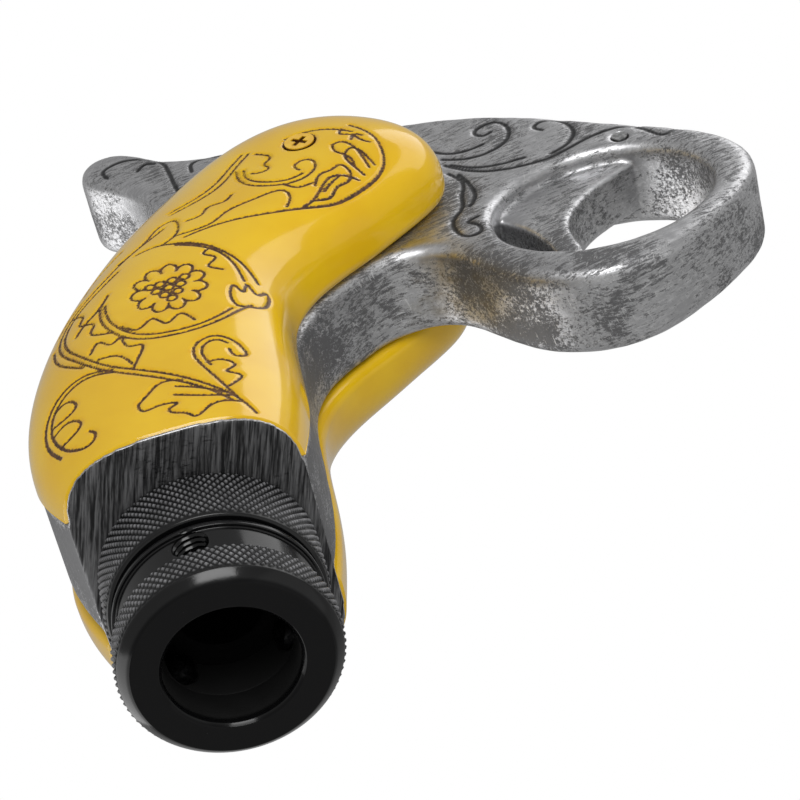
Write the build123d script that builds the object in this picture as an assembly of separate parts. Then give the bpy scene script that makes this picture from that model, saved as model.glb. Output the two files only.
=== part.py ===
from build123d import *
import os

# Pistol-grip gear lever knob. Millimetres. The origin is the centre of the collar's mouth, +Z runs up the
# lever's axis into the grip, +X points to the trigger guard and +Y to the left-hand scale.

# ---- Driving dimensions: profile of the cast frame ----
frame_reach = 93.8  # lever axis to the guard's nose
frame_height = 134.6  # collar's mouth to the top of the hammer lobe
plate_thickness = 14.6  # cast plate, side face to side face
plate_edge_radius = 2.2
guard_edge_radius = 1.8
guard_length = 33.6  # finger opening, along X
guard_height = 27.2  # finger opening, along Z
guard_nose_wall = 7.2  # from the finger opening to the nose

# ---- Driving dimensions: butt ----
butt_z = 23.0  # face that the knurled base seats on
butt_rim = 1.0  # butt's side beyond the knurled base
butt_depth = 44.0  # over both scales
flange_thickness = 0.8  # thin rim that the scales stand on
foot_right_y = -12.0  # the casting's foot spreads to the right-hand side at the butt
foot_taper_height = 26.0  # above the butt, where the foot has run into the plate
socket_wall = 2.6
socket_depth = 14.0

# ---- Driving dimensions: grip scales ----
scale_shoulder_radius = 7.5

# ---- Driving dimensions: trigger and fasteners ----
trigger_recess = 2.9  # trigger's side below the frame's side face
trigger_edge_radius = 1.0
trigger_pin_diameter = 2.4
scale_screw_head_diameter = 4.6
scale_screw_thread_diameter = 3.0
scale_screw_head_height = 2.2
scale_screw_recess = 1.3  # head's top below the crown
scale_screw_tip_y = 1.0
scale_bush_diameter = 6.0
dowel_diameter = 3.0
dowel_depth = 3.0  # into each of the two pieces that it joins

# ---- Driving dimensions: lever clamp ----
collar_bore_diameter = 18.0
collar_wall = 6.0
front_knurl_end_z = 6.5
waist_step = 1.4  # waist below the knurled band
waist_end_z = 11.8
lip_step = 0.8
lip_end_z = 12.7
front_chamfer = 1.9
bore_chamfer = 0.5
collar_spigot_wall = 2.0
collar_spigot_end_z = 25.0
set_screw_diameter = 5.0
set_screw_length = 4.0
set_screw_hex = 2.5
set_screw_socket_depth = 2.0
set_screw_point = 0.8
set_screw_tip_gap = 0.9  # from a lever of the sleeve's size
set_screw_z = 9.4
set_screw_count = 3
first_set_screw_angle = -94.0
lever_diameter = 12.0
sleeve_start_z = 13.0
o_ring_section = 1.3
base_start_z = 13.4
base_chamfer = 0.5
base_spigot_wall = 1.6
base_spigot_step = 0.6  # the spigot's throat is this much wider than the collar's bore
lock_pin_diameter = 2.5
lock_pin_cover = 0.5  # wall left at each end of the pin

# ---- Fits ----
running_clearance = 0.05  # radial, between threads and between sliding pieces
seat_clearance = 0.05  # between glued or nested faces
scale_gap = 0.1  # scale to casting
trigger_gap = 0.08

# ---- Values worked out from those above ----
plate_half = plate_thickness / 2
bore_radius = collar_bore_diameter / 2
collar_radius = bore_radius + collar_wall
collar_thread_radius = bore_radius + collar_spigot_wall
base_thread_radius = collar_thread_radius + base_spigot_wall
butt_half_width = collar_radius + butt_rim
boss_radius = base_thread_radius + socket_wall
socket_top_z = butt_z + socket_depth
flange_top_z = butt_z + flange_thickness
crown_y = butt_depth / 2
trigger_half = plate_half - trigger_recess
set_screw_radius = set_screw_diameter / 2
sleeve_end_z = collar_spigot_end_z - bore_chamfer
o_ring_radius = collar_thread_radius + 0.4 + o_ring_section / 2
o_ring_z = lip_end_z - 0.1
lock_pin_z = (collar_spigot_end_z + socket_top_z) / 2

# The outlines are (x, z) points of the drawn size, and stretch with the frame.
DRAWN_REACH = 93.8
DRAWN_RISE = 111.6
BACKSTRAP = [(-18.3, 30), (-19.5, 36.5), (-19.5, 43), (-18, 52), (-14.4, 63), (-9, 74), (-3.8, 83.5), (0.8, 92)]
HAMMER = [(3.8, 100), (4.6, 110), (2.2, 117.5), (-2, 123.6), (-5.8, 128.6), (-4.6, 133.2), (-0.6, 134.6), (3.6, 132.6)]
TOP_STRAP = [(8.6, 127.6), (14, 125.2), (22, 124), (34, 121), (45, 117.4), (53, 115), (61, 111), (70, 104.6)]
GUARD_NOSE = [(79.5, 96.6), (88, 89.4), (92.6, 82.6), (93.2, 75.6), (89.6, 69)]
GUARD_BOW = [(83, 63), (75, 58), (66, 55.9), (58.6, 58), (53, 62.4), (48.4, 69), (43.6, 74.6)]
FRONT_STRAP = [(36, 75.6), (29.6, 72.2), (24.2, 67.6), (20.5, 61), (19, 52), (18.6, 43), (17.9, 33)]
SCALE_BACK = [(-18.6, 30), (-19.8, 36), (-19.8, 43), (-18.2, 52), (-14.6, 63), (-9.2, 75), (-3.6, 85)]
SCALE_TOP = [(3.4, 94), (10.7, 101.6), (18.4, 107), (27.5, 109.5), (36.6, 107.6), (43.2, 103), (47.4, 97.5)]
SCALE_END = [(48.8, 91.5), (47.8, 87.2), (44.6, 83.4)]
SCALE_FRONT = [(40, 79.6), (35, 75.8), (30, 72.4), (24.6, 67.6), (20.8, 61), (19.4, 53), (19, 44), (18.2, 34)]
TRIGGER_BACK = [(51.5, 91), (53, 84.4), (56.8, 79.8), (59, 75.2), (60.2, 70)]
TRIGGER_TIP = [(61, 67.4), (62.6, 66.4), (64.1, 67.4), (64.4, 70)]
TRIGGER_FRONT = [(64, 74.6), (65.2, 79), (68.4, 83), (73.4, 86.6), (80, 90)]
TRIGGER_ROOT = [(80, 98), (60, 98)]
TRIGGER_PIN_PLACE = (76.8, 92.6)
SCALE_SCREW_PLACE = (28.9, 94.1)
GUARD_LEVEL = (69.8, 76.9)
DOWEL_PLACES = [(4, 52), (36, 84)]


def stretched(points):
    """Outline points of the drawn size, moved out to the frame's reach and height above the butt."""
    rise = (frame_height - butt_z) / DRAWN_RISE
    return [(x * frame_reach / DRAWN_REACH, butt_z + (z - 23.0) * rise) for x, z in points]


trigger_pin_place = stretched([TRIGGER_PIN_PLACE])[0]
scale_screw_place = stretched([SCALE_SCREW_PLACE])[0]
guard_centre_x = frame_reach - guard_nose_wall - guard_length / 2
guard_centre_z = stretched([GUARD_LEVEL])[0][1]
dowel_places = stretched(DOWEL_PLACES)


def side_face(points, low_z=None):
    """A face in the XZ plane: a spline through the points, closed by a line, or by a skirt down to low_z."""
    corners = [points[-1], points[0]]
    if low_z is not None:
        corners = [points[-1], (points[-1][0], low_z), (points[0][0], low_z), points[0]]
    with BuildSketch(Plane.XZ) as sketch:
        with BuildLine():
            Spline(*points)
            Polyline(*corners)
        make_face()
    return sketch.sketch


def slab(face, low_y, high_y):
    """A face of the XZ plane, pulled out between two values of Y."""
    solid = extrude(face, amount=high_y - low_y, dir=(0, 1, 0))
    return Pos(0, low_y, 0) * solid


def drum(radius, low_z, high_z):
    """An upright cylinder on the lever's axis."""
    return Pos(0, 0, low_z) * Cylinder(radius, high_z - low_z, align=(Align.CENTER, Align.CENTER, Align.MIN))


def cross_pin(x, z, radius, low_y, high_y):
    """A cylinder along Y."""
    middle = (low_y + high_y) / 2
    return Pos(x, middle, z) * Rot(90, 0, 0) * Cylinder(radius, high_y - low_y)


def edges_at(solid, y_values):
    """The edges that lie wholly in one of the given planes of constant Y."""
    found = []
    for edge in solid.edges():
        box = edge.bounding_box()
        for y in y_values:
            if abs(box.min.Y - y) < 1e-3 and abs(box.max.Y - y) < 1e-3:
                found.append(edge)
    return found


def guard_opening():
    """The finger opening's ellipse, as a face in the XZ plane."""
    return Plane.XZ * Pos(guard_centre_x, guard_centre_z) * Ellipse(guard_length / 2, guard_height / 2)


def frame_face():
    """The casting's side view: butt, backstrap, hammer lobe, top strap, guard and front strap."""
    outline = [(-butt_half_width, butt_z)]
    outline += stretched(BACKSTRAP + HAMMER + TOP_STRAP + GUARD_NOSE + GUARD_BOW + FRONT_STRAP)
    outline += [(butt_half_width, butt_z)]
    return side_face(outline)


def frame_plate():
    """The cast plate, its edges rounded, with the finger opening."""
    plate = slab(frame_face(), -plate_half, plate_half)
    rims = [e for e in edges_at(plate, (-plate_half, plate_half)) if e.length > 3 * butt_half_width]
    plate = fillet(rims, plate_edge_radius)
    plate -= slab(guard_opening(), -plate_half, plate_half)
    rims = [e for e in edges_at(plate, (-plate_half, plate_half)) if is_guard_rim(e)]
    return fillet(rims, guard_edge_radius)


def is_guard_rim(edge):
    """Whether an edge runs round the finger opening."""
    middle = edge.bounding_box().center()
    return abs(middle.X - guard_centre_x) < 0.1 and abs(middle.Z - guard_centre_z) < 0.1


def butt_section():
    """The butt's end outline in the XY plane: level sides, and a crowned end on each scale."""
    side = butt_half_width
    side_y = -foot_right_y
    shoulder = (0.81 * side, crown_y - 0.19 * side)
    crown = [(side, side_y), shoulder, (0, crown_y), (-shoulder[0], shoulder[1]), (-side, side_y)]
    with BuildSketch() as sketch:
        with BuildLine():
            Line((side, -side_y), (side, side_y))
            Spline(*crown)
            Line((-side, side_y), (-side, -side_y))
            Spline(*[(-x, -y) for x, y in crown])
        make_face()
    return sketch.sketch


def foot_wedge(half_width, gap=0.0):
    """Room for the casting's foot, which spreads to the right at the butt and tapers up into the plate."""
    low_y = foot_right_y - gap
    plate_y = -plate_half - gap
    with BuildSketch(Plane.YZ) as sketch:
        with BuildLine():
            Polyline(
                (0, butt_z),
                (low_y, butt_z),
                (low_y, flange_top_z),
                (plate_y, butt_z + foot_taper_height),
                (0, butt_z + foot_taper_height),
                close=True,
            )
        make_face()
    return extrude(sketch.sketch, amount=half_width, both=True)


def trigger_blank(side_gap):
    """The trigger with its root. As a cutter for its pocket, it is thicker by a gap on each side."""
    points = stretched(TRIGGER_BACK + TRIGGER_TIP + TRIGGER_FRONT)
    root = stretched(TRIGGER_ROOT)
    with BuildSketch(Plane.XZ) as sketch:
        with BuildLine():
            Spline(*points)
            Polyline(points[-1], *root, points[0])
        make_face()
    return slab(sketch.sketch, -trigger_half - side_gap, trigger_half + side_gap)


def room_for_casting():
    """Room in each scale for the casting's round boss, its foot and its flange."""
    room = drum(boss_radius + scale_gap, butt_z, socket_top_z + socket_wall + scale_gap)
    room += foot_wedge(2 * butt_half_width, scale_gap)
    below = Box(frame_reach, 2 * butt_depth, butt_z, align=(Align.CENTER, Align.CENTER, Align.MAX))
    return room + Pos(0, 0, flange_top_z + scale_gap) * below


def make_frame():
    """One casting: plate, round boss, foot and the thin flange that the scales stand on."""
    frame = frame_plate() + drum(boss_radius, butt_z, socket_top_z + socket_wall)
    frame += slab(frame_face(), foot_right_y, 0) & foot_wedge(2 * butt_half_width)
    frame += Pos(0, 0, butt_z) * extrude(butt_section(), flange_thickness)
    frame -= drum(base_thread_radius + running_clearance, butt_z, socket_top_z)
    frame -= trigger_blank(trigger_gap)
    frame -= cross_pin(*trigger_pin_place, trigger_pin_diameter / 2, -plate_half, plate_half)
    frame -= cross_pin(*scale_screw_place, scale_bush_diameter / 2, -plate_half, plate_half)
    for x, z in dowel_places:
        for side in (-1, 1):
            inner, outer = sorted((side * (plate_half - dowel_depth), side * plate_half))
            frame -= cross_pin(x, z, dowel_diameter / 2, inner, outer)
    return frame - lock_pin(seat_clearance)


def make_trigger():
    """The trigger blade, with softened edges and a pin hole in its root."""
    blade = trigger_blank(0)
    rims = [e for e in edges_at(blade, (-trigger_half, trigger_half)) if e.geom_type == GeomType.BSPLINE]
    blade = fillet(rims, trigger_edge_radius)
    return blade - cross_pin(*trigger_pin_place, trigger_pin_diameter / 2, -plate_half, plate_half)


def make_scale(side):
    """A crowned grip scale on one side of the plate: side is -1 on the right and 1 on the left."""
    skirt_z = butt_z - 2 * scale_shoulder_radius
    outline = [(-butt_half_width, butt_z - 1)]
    outline += stretched(SCALE_BACK + SCALE_TOP + SCALE_END + SCALE_FRONT)
    outline += [(butt_half_width, butt_z - 1)]
    inner_y = plate_half + scale_gap
    low_y, high_y = sorted((side * inner_y, side * crown_y))
    scale = slab(side_face(outline, skirt_z), low_y, high_y)
    scale = fillet(edges_at(scale, (side * crown_y,)), scale_shoulder_radius)
    scale -= room_for_casting()
    head_y = crown_y - scale_screw_recess - scale_screw_head_height
    for radius, from_y in ((scale_screw_head_diameter / 2, head_y), (scale_screw_thread_diameter / 2, 0)):
        hole_y = sorted((side * from_y, side * crown_y))
        scale -= cross_pin(*scale_screw_place, radius + seat_clearance, *hole_y)
    for x, z in dowel_places:
        hole_y = sorted((0, side * (plate_half + dowel_depth + scale_gap)))
        scale -= cross_pin(x, z, dowel_diameter / 2 + seat_clearance, *hole_y)
    return scale


def make_scale_screw(side):
    """A cheese-head screw with a cross recess, which clamps a scale to the bush in the plate."""
    head_top_y = crown_y - scale_screw_recess
    head_y = sorted((side * (head_top_y - scale_screw_head_height), side * head_top_y))
    shank_y = sorted((side * scale_screw_tip_y, side * (head_top_y - scale_screw_head_height)))
    screw = cross_pin(*scale_screw_place, scale_screw_head_diameter / 2, *head_y)
    screw += cross_pin(*scale_screw_place, scale_screw_thread_diameter / 2, *shank_y)
    slot = Box(0.62 * scale_screw_head_diameter, 1.2, 0.18 * scale_screw_head_diameter)
    slot_place = Pos(scale_screw_place[0], side * head_top_y, scale_screw_place[1])
    for turn in (45, 135):
        screw -= slot_place * Rot(0, turn, 0) * slot
    return screw


def make_scale_bush():
    """The threaded cross bush that both scale screws run into."""
    bush = cross_pin(*scale_screw_place, scale_bush_diameter / 2, -plate_half, plate_half)
    hole_radius = scale_screw_thread_diameter / 2 + seat_clearance
    return bush - cross_pin(*scale_screw_place, hole_radius, -plate_half, plate_half)


def make_dowels():
    """Four short pegs that locate the scales on the plate."""
    pegs = []
    for x, z in dowel_places:
        for side in (-1, 1):
            ends = sorted((side * (plate_half - dowel_depth), side * (plate_half + dowel_depth)))
            pegs.append(cross_pin(x, z, dowel_diameter / 2, *ends))
    return Compound(children=pegs)


def lock_pin(grow):
    """A cross pin through the boss and the base's spigot, which keeps the base from turning."""
    start = bore_radius + base_spigot_step + lock_pin_cover
    length = boss_radius - start - lock_pin_cover
    pin = Cylinder(lock_pin_diameter / 2 + grow, length, align=(Align.CENTER, Align.CENTER, Align.MIN))
    return Pos(start, 0, lock_pin_z) * Rot(0, 90, 0) * pin


def ring_profile(points):
    """A turned piece: the (radius, z) points swept round the lever's axis."""
    with BuildSketch(Plane.XZ) as sketch:
        with BuildLine():
            Polyline(*points, close=True)
        make_face()
    return revolve(sketch.sketch, Axis.Z)


def make_base():
    """The knurled ring under the butt, threaded outside for the boss and inside for the collar."""
    thread_bore = collar_thread_radius + running_clearance
    bore_top_z = collar_spigot_end_z + seat_clearance
    throat = bore_radius + base_spigot_step
    top_z = socket_top_z - seat_clearance
    base = ring_profile([
        (thread_bore, base_start_z),
        (collar_radius - base_chamfer, base_start_z),
        (collar_radius, base_start_z + base_chamfer),
        (collar_radius, butt_z),
        (base_thread_radius, butt_z),
        (base_thread_radius, top_z),
        (throat, top_z),
        (throat, bore_top_z),
        (thread_bore, bore_top_z),
    ])
    return base - lock_pin(seat_clearance)


def make_o_ring():
    """The seal in the collar's shoulder, which closes the gap below the base."""
    return Pos(0, 0, o_ring_z) * Torus(o_ring_radius, o_ring_section / 2)


def set_screw_angles():
    """Where the set screws stand round the collar."""
    return [first_set_screw_angle + 360 * i / set_screw_count for i in range(set_screw_count)]


def radial_cylinder(angle, z, radius, inner, outer):
    """A cylinder that points away from the lever's axis."""
    shape = Cylinder(radius, outer - inner, align=(Align.CENTER, Align.CENTER, Align.MIN))
    return Rot(0, 0, angle) * Pos(inner, 0, z) * Rot(0, 90, 0) * shape


def make_collar():
    """The clamp collar: knurled mouth, smooth waist with the set screws, lip and threaded spigot."""
    groove_inner = o_ring_radius - o_ring_section / 2 - seat_clearance
    groove_outer = o_ring_radius + o_ring_section / 2 + seat_clearance
    groove_z = o_ring_z - o_ring_section / 2 - seat_clearance
    collar = ring_profile([
        (bore_radius + bore_chamfer, 0),
        (collar_radius - front_chamfer, 0),
        (collar_radius, front_chamfer),
        (collar_radius, front_knurl_end_z),
        (collar_radius - waist_step, front_knurl_end_z),
        (collar_radius - waist_step, waist_end_z),
        (collar_radius - lip_step, waist_end_z),
        (collar_radius - lip_step, lip_end_z),
        (groove_outer, lip_end_z),
        (groove_outer, groove_z),
        (groove_inner, groove_z),
        (groove_inner, lip_end_z),
        (collar_thread_radius, lip_end_z),
        (collar_thread_radius, collar_spigot_end_z),
        (bore_radius, collar_spigot_end_z),
        (bore_radius, bore_chamfer),
    ])
    for angle in set_screw_angles():
        collar -= radial_cylinder(angle, set_screw_z, set_screw_radius + running_clearance, 0, collar_radius)
    return collar


def make_set_screw(angle):
    """A socket set screw with a cone point, run in until its tip is just clear of the lever."""
    tip = lever_diameter / 2 + set_screw_tip_gap
    end = tip + set_screw_length
    screw = radial_cylinder(angle, set_screw_z, set_screw_radius, tip + set_screw_point, end)
    from_base = (Align.CENTER, Align.CENTER, Align.MIN)
    point = Cone(set_screw_radius / 2, set_screw_radius, set_screw_point, align=from_base)
    screw += Rot(0, 0, angle) * Pos(tip, 0, set_screw_z) * Rot(0, 90, 0) * point
    socket = extrude(RegularPolygon(set_screw_hex / 2, 6, major_radius=False), set_screw_socket_depth)
    socket_place = Pos(end - set_screw_socket_depth, 0, set_screw_z)
    return screw - Rot(0, 0, angle) * socket_place * Rot(0, 90, 0) * socket


def make_sleeve():
    """The plastic reducer that centres a thinner lever in the collar's bore."""
    outer = bore_radius
    inner = lever_diameter / 2
    return ring_profile([
        (inner + bore_chamfer, sleeve_start_z),
        (outer, sleeve_start_z),
        (outer, sleeve_end_z),
        (inner, sleeve_end_z),
        (inner, sleeve_start_z + bore_chamfer),
    ])


pieces = {
    "frame": make_frame(),
    "trigger": make_trigger(),
    "trigger_pin": cross_pin(*trigger_pin_place, trigger_pin_diameter / 2, -plate_half, plate_half),
    "right_grip_scale": make_scale(-1),
    "left_grip_scale": make_scale(1),
    "right_scale_screw": make_scale_screw(-1),
    "left_scale_screw": make_scale_screw(1),
    "scale_screw_bush": make_scale_bush(),
    "scale_dowels": make_dowels(),
    "knurled_base": make_base(),
    "base_lock_pin": lock_pin(0),
    "collar_o_ring": make_o_ring(),
    "clamp_collar": make_collar(),
    "lever_sleeve": make_sleeve(),
}
for number, angle in enumerate(set_screw_angles(), 1):
    pieces[f"set_screw_{number}"] = make_set_screw(angle)

os.makedirs("parts", exist_ok=True)
for name, shape in pieces.items():
    export_step(shape, f"parts/{name}.step")
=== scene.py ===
import bpy
import bmesh
import math
import numpy as np
from mathutils import Matrix, Vector, kdtree, noise


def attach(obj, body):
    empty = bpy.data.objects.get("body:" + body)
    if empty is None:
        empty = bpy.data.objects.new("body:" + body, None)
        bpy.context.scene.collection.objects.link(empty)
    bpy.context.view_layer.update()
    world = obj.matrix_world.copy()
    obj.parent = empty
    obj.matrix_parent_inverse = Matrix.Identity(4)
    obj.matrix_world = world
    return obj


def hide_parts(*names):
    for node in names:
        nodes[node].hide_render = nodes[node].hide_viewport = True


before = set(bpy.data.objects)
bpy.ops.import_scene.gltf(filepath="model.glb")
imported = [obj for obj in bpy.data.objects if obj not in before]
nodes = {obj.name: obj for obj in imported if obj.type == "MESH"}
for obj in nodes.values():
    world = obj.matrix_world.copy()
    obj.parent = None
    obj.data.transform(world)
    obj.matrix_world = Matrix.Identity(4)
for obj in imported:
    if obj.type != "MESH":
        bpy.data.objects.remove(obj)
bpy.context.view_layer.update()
MM = 0.001

# ---------------------------------------------------------------- camera
CAMERA_PLACE = Vector((0.013433, -0.215016, -0.281999))
CAMERA_FORWARD = Vector((0.04583, 0.54401, 0.83783)).normalized()
CAMERA_ROLL = math.radians(-20.08)
CAMERA_LENS = 125.6
SENSOR_WIDTH = 36
CLIP_START = 0.01
level_right = CAMERA_FORWARD.cross(Vector((0, 0, 1))).normalized()
level_up = level_right.cross(CAMERA_FORWARD)
RIGHT = level_right * math.cos(CAMERA_ROLL) + level_up * math.sin(CAMERA_ROLL)
UP = RIGHT.cross(CAMERA_FORWARD)
camera = bpy.data.objects.new("camera", bpy.data.cameras.new("camera"))
camera.data.lens = CAMERA_LENS
camera.data.sensor_width = SENSOR_WIDTH
camera.data.clip_start = CLIP_START
turn = Matrix((RIGHT, UP, -CAMERA_FORWARD)).transposed()
camera.matrix_world = Matrix.Translation(CAMERA_PLACE) @ turn.to_4x4()
bpy.context.scene.collection.objects.link(camera)
bpy.context.scene.camera = camera

# ---------------------------------------------------------------- outlines and ornament, in mm (x, z)
SCALE_BACK = [(-16.4, 23.9), (-18.6, 30), (-19.8, 36), (-19.8, 43), (-18.2, 52), (-14.6, 63),
              (-9.2, 75), (-3.6, 85)]
SCALE_CAP = [(3.4, 94), (10.7, 101.6), (18.4, 107), (27.5, 109.5), (36.6, 107.6), (43.2, 103),
             (47.4, 97.5), (48.8, 91.5), (47.8, 87.2), (44.6, 83.4)]
SCALE_FRONT = [(40, 79.6), (35, 75.8), (30, 72.4), (24.6, 67.6), (20.8, 61), (19.4, 53), (19, 44),
               (18.2, 34), (16.4, 23.9)]
SCALE_SPINE = [(0, 23.9), (-0.5, 36), (0.5, 50), (4, 62), (9.5, 72.5), (16.5, 82), (24, 89.5), (29, 93)]
SCREW_PLACE = (28.9, 94.1)
SCREW_RING = 2.45

STEMS = [
    [(-2, 70), (-6, 66), (-9.5, 62), (-11.3, 57), (-11, 53), (-9.5, 49.5), (-5, 43), (-2, 40.5),
     (4, 35.3), (8, 31), (10, 28.5), (11.7, 25.2)],
    [(-3.2, 70.6), (-7, 66.6), (-10.4, 62.2), (-12.2, 57), (-11.9, 52.6), (-10.3, 48.9), (-5.8, 42.4),
     (-2.6, 39.6), (3.4, 34.5), (7.2, 30.6), (9.2, 28)],
    [(5, 73), (9, 71), (13, 67), (15.5, 63), (16.8, 59)],
    [(7, 71.5), (11.5, 68), (14, 64), (15, 59)],
    [(-5.5, 60), (-5.6, 56), (-4.5, 52.5), (-2.5, 49.5), (0, 47.8), (3, 47), (6, 47), (10, 48.5),
     (13, 51), (15, 53)],
    [(-4.7, 60.5), (-4.6, 56.3), (-3.6, 53.2), (-1.8, 50.4), (0.4, 48.8), (3.2, 48), (6, 48),
     (9.6, 49.4), (12.4, 51.8)],
    [(9.8, 29), (6.7, 37), (5.8, 40), (6, 42.5), (7.5, 44.3), (9, 44.7), (11, 43.5), (12.3, 41),
     (12.3, 39.3), (11.3, 39.2), (10.5, 41)],
    [(7.6, 37.4), (6.9, 40), (7, 41.9), (8, 43.3), (9.2, 43.6), (10.5, 42.6)],
    [(-5, 41.7), (-9.5, 42.8), (-12, 41.7), (-14, 39.5), (-15.2, 36), (-15, 33), (-13.8, 30), (-12, 28),
     (-10.3, 27.5), (-9.3, 29), (-10, 30.3)],
    [(-5.5, 42.6), (-9.6, 43.7), (-12.6, 42.5), (-14.9, 39.8), (-16.2, 36), (-16, 32.6), (-14.6, 29.2)],
    [(27, 96.3), (31, 96.8), (34.5, 95.5), (37, 93.5)],
    [(37, 96), (39.5, 92), (40.3, 88), (40, 85), (38, 82), (35, 79.5), (31, 77), (26, 75.8), (20, 75),
     (14, 74.5), (8.5, 73.2)],
    [(7.5, 74.6), (13, 75.5), (15, 77.5), (17, 78.7), (20, 79.8), (24.5, 80.3), (24.9, 79), (24, 76.3)],
    [(26, 75.8), (28.5, 78), (30, 80.5), (32, 82.5), (35.5, 81.5)],
    [(18.5, 90.5), (18.5, 87), (20, 84.3), (22.5, 82.8), (25.5, 82.3), (28.5, 83.6), (30, 86),
     (29.8, 87.5), (28.5, 88.2), (27, 87), (27.5, 85.5)],
    [(19.6, 90.2), (19.6, 87.3), (20.9, 85.1), (23, 83.8), (25.5, 83.4), (27.8, 84.4)],
    [(21, 95.5), (18.5, 92), (16, 88), (12.5, 85), (7.5, 83.2)],
    [(20, 96), (17.5, 92.6), (15, 88.8), (11.8, 86), (7.2, 84.2)],
    [(1, 73), (4.5, 73.1), (7.5, 71.6), (12, 68.5)],
]
LEAVES = [
    [(-3, 71), (0, 74), (3, 77), (5.5, 80.3), (7.5, 80.5), (8, 79), (6.5, 74), (5, 73)],
    [(22, 94.5), (23.8, 91.5), (22.8, 90), (23.2, 88.5), (22, 87.7), (20.5, 88.3)],
    [(36.5, 82.5), (35.1, 85), (34.8, 87.5), (36, 88.8), (37.4, 87.2), (38.5, 84.5)],
    [(36.4, 91), (37.2, 92.6), (38.2, 91.8)],
    [(13.2, 52.4), (12.6, 55), (13.6, 57.6), (14.4, 56.2), (15.2, 58.2), (16.2, 56.2), (17.4, 57.4),
     (17.2, 54.6), (15.4, 52.6), (13.2, 52.4)],
    [(-3, 53), (-0.6, 51), (1.4, 52.6), (3.2, 50.4), (5, 52), (7, 49.6)],
    [(-10, 62.8), (-8.2, 60.2), (-8.8, 58.4), (-6.8, 56.6), (-7.4, 54.6), (-4.4, 52.2)],
    [(-9.6, 55.4), (-8.2, 57.6), (-6.4, 59.4), (-4, 63.4)],
    [(-8, 48.6), (-6.4, 50.8), (-4.8, 49.2), (-3.6, 50.2), (-2.6, 47.2), (-1, 46.8), (-1.6, 43.6),
     (-2.6, 41.2)],
    [(-7, 46.4), (-4.6, 45.8), (-2.6, 42.4)],
    [(7.2, 38.2), (9.2, 38.4), (10.6, 36.8), (9.4, 35.4), (11, 34.4), (10, 32.4), (9.2, 31.6)],
    [(3.4, 35), (0.6, 35.6), (-2, 33), (-3, 31.5), (-2.5, 30), (-0.4, 30.2), (2, 29.5), (0.8, 28.6),
     (1.5, 27.5), (2.8, 26.8), (4, 25.5), (5.8, 27), (7.5, 28), (10, 27.8)],
    [(2, 31.8), (5.4, 30.2), (9, 29.3)],
    [(2.4, 33.8), (5, 32.4), (8.4, 30.2)],
    [(-14.4, 38.8), (-12.5, 39.6), (-11.2, 37.6), (-12.6, 36.2), (-14.9, 36)],
    [(-14.9, 34.2), (-12.6, 34.8), (-11, 33), (-12.4, 31.4), (-14.2, 31)],
    [(12, 68.4), (10.6, 66.6), (12, 65.2), (10.8, 63.4), (12.6, 61.8)],
    [(24.6, 82.3), (26.4, 80.8), (28.6, 81.4)],
    [(35.6, 95.2), (35.2, 93.4), (36.6, 92.6), (37.8, 90.6), (39, 89.6)],
    [(33.4, 90.6), (34.6, 91), (36, 89.8), (37, 87), (37.6, 84)],
    [(33.4, 90.6), (33.6, 88.6), (35, 87), (35.6, 84)],
    [(29, 80.6), (30.4, 83.4), (32.2, 84.2), (33.4, 85), (34.6, 83), (33.6, 81), (32, 80), (30.8, 78.2),
     (28, 77.4)],
    [(30, 79.2), (31.4, 81), (33, 82.6)],
    [(-12.4, 60.5), (-10.6, 64), (-8, 67)],
    [(-13.2, 56), (-13, 52), (-11.6, 48.6), (-9.4, 46)],
    [(-7.8, 69.6), (-6.4, 72.6), (-4, 75.6), (-1, 78.4)],
    [(9.4, 78.6), (11.6, 79), (13, 81), (15.2, 81.2), (16.8, 83)],
    [(-1.8, 72.8), (1.4, 75.2), (4.2, 77.4), (5.8, 78.8)],
]
FLOWER_CENTRE = (4.6, 59.8)
FLOWER_SIZE = (5.5, 6.4)
FLOWER_LOBES = 11
PETAL_STEPS = 12
PETAL_NOTCH = 0.76  # share of the flower's size that the notches between petals reach
PETAL_SWELL = 0.24
PETAL_POWER = 0.75
VEIN_REACH = (0.84, 0.68)
SEED_PLACES = [(0, 0), (1.75, 0.2), (0.7, 1.7), (-1.1, 1.5), (-1.8, -0.2), (-0.8, -1.7), (1.1, -1.6),
               (2.5, 1.8), (-2.6, 1.4), (0.1, -3.1)]
SEED_RADIUS = 0.72
SEED_STEPS = 14

METAL_LINES = [
    [(50, 101), (53, 99.5), (57, 99.2), (60, 100.8), (61.5, 103.5), (61.5, 106.5), (60, 108.3),
     (58, 108), (56.5, 106.5), (57.5, 105), (59, 105.5)],
    [(49, 104.5), (51, 102.5), (54, 101.8), (57, 102.3)],
    [(66, 93.5), (69, 95), (70.7, 98), (70.5, 101), (69, 103.7), (67, 104.2), (65.5, 103),
     (66.5, 101.5)],
    [(50, 99), (52, 96.5), (55, 94), (60, 92.2), (66, 92.5), (70, 94), (75, 95.6), (80, 94.9), (84, 93),
     (86, 90)],
    [(51, 98.5), (54, 96), (58, 94.5), (62, 94.5)],
    [(80, 94), (81.5, 91.5), (83, 89.5), (85.5, 91)],
    [(50, 96), (51.5, 92), (50.5, 88), (49.8, 84.5), (48, 82), (47.5, 79), (49, 76), (50.5, 76),
     (51, 78.5), (49.8, 80), (51.5, 81)],
    [(51.5, 95), (52.5, 90), (52, 86), (51, 84.5)],
    [(-1.5, 126), (-2, 128.5), (0, 130), (4, 129.7), (7, 127.5), (8.3, 123), (8.7, 118), (9, 115)],
    [(3.5, 125.5), (5, 127), (6.5, 126.5)],
    [(12, 120), (12.5, 123), (15, 123.5), (18, 122.5)],
]
PIN_MARK = (76.8, 92.6)
PIN_MARK_RADIUS = 1.25
LINE_STEP = 0.05  # between the points of a drawn line
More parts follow.
